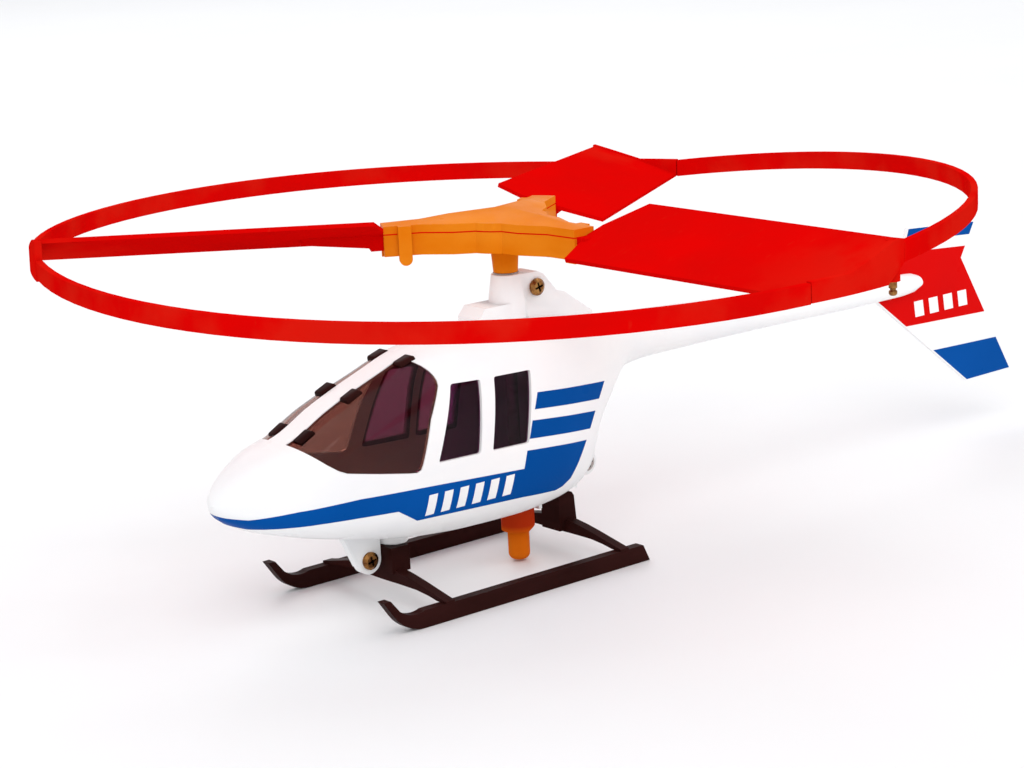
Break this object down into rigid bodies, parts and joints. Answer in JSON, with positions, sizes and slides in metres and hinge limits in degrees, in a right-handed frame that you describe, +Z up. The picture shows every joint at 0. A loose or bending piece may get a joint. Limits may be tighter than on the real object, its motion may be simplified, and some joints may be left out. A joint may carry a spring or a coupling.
{
  "type": "toy helicopter",
  "caption": "Toy helicopter with a ring rotor on a vertical axle that a pull-cord launcher turns through a pin under the belly.",
  "frame": {"origin": "middle of the overall length and width, on the ground under the skids", "axes": "+X towards the nose, +Y towards the port side, +Z up along the rotor axis"},
  "size_m": [0.2948, 0.2216, 0.0908],
  "materials": {
    "white_shell": "glossy moulded white plastic with printed blue stripes",
    "smoked_glazing": "smoked purple-brown clear plastic",
    "fin_plastic": "glossy plastic with red, white and blue bands",
    "bush_plastic": "plain dark acetal",
    "brass_fastener": "yellow-plated steel screws and pins",
    "dark_gear": "black-brown moulded plastic with a soft sheen",
    "steel": "ground steel",
    "orange_hub": "orange moulded plastic",
    "red_rotor": "red moulded plastic, lighter where it is worn"
  },
  "bodies": {
    "airframe": {"fuselage_left": "white_shell", "fuselage_right": "white_shell", "windscreen_left": "smoked_glazing", "windscreen_right": "smoked_glazing", "side_window_left": "smoked_glazing", "side_window_right": "smoked_glazing", "tail_fin": "fin_plastic", "upper_bush": "bush_plastic", "lower_bush": "bush_plastic", "mast_screw": "brass_fastener", "belly_screw": "brass_fastener", "tail_screw": "brass_fastener", "front_strut": "dark_gear", "rear_strut": "dark_gear", "skid_left": "dark_gear", "skid_right": "dark_gear"},
    "rotor": {"axle": "steel", "hub_frame": "orange_hub", "hub_cap": "orange_hub", "thrust_washer": "steel", "drive_pin": "orange_hub", "blade_1": "red_rotor", "blade_2": "red_rotor", "blade_3": "red_rotor", "ring_arc_1": "red_rotor", "ring_arc_2": "red_rotor", "ring_arc_3": "red_rotor", "balance_pin": "brass_fastener"}
  },
  "joints": [
    {"name": "rotor_spin", "type": "hinge", "parent": "airframe", "child": "rotor", "pos_m": [0.0366, 0, 0.0118], "axis": [0, 0, 1], "continuous": true}
  ]
}
